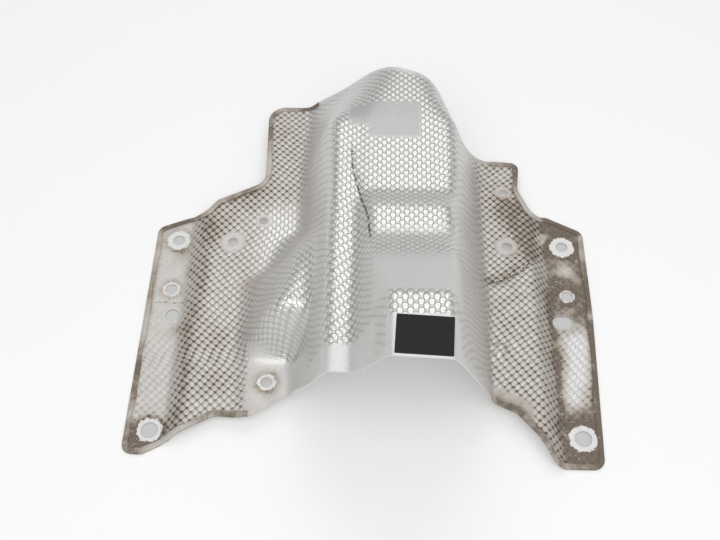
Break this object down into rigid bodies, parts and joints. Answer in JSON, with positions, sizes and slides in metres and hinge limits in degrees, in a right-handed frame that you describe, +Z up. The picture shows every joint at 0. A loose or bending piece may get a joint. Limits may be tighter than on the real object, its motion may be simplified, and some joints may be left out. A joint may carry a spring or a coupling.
{
  "type": "firewall heat shield",
  "caption": "Pressed aluminium firewall heat shield: a stepped tunnel with a side bulge between two flat bolted wings, dimple embossed, with hemmed edges.",
  "frame": {"origin": "middle of the overall box in plan, on the underside of the flat margins that the shield rests on", "axes": "+X across the two wings to the side without the bulge, +Y along the tunnel away from its tall mouth, +Z up"},
  "size_m": [0.375, 0.358, 0.1593],
  "materials": {
    "sheet": "dimple embossed mill finish, stained brown-grey on the wings and hems",
    "patch": "blank matt black film"
  },
  "bodies": {
    "root": {"heat_shield": "sheet", "black_patch": "patch"}
  },
  "joints": []
}
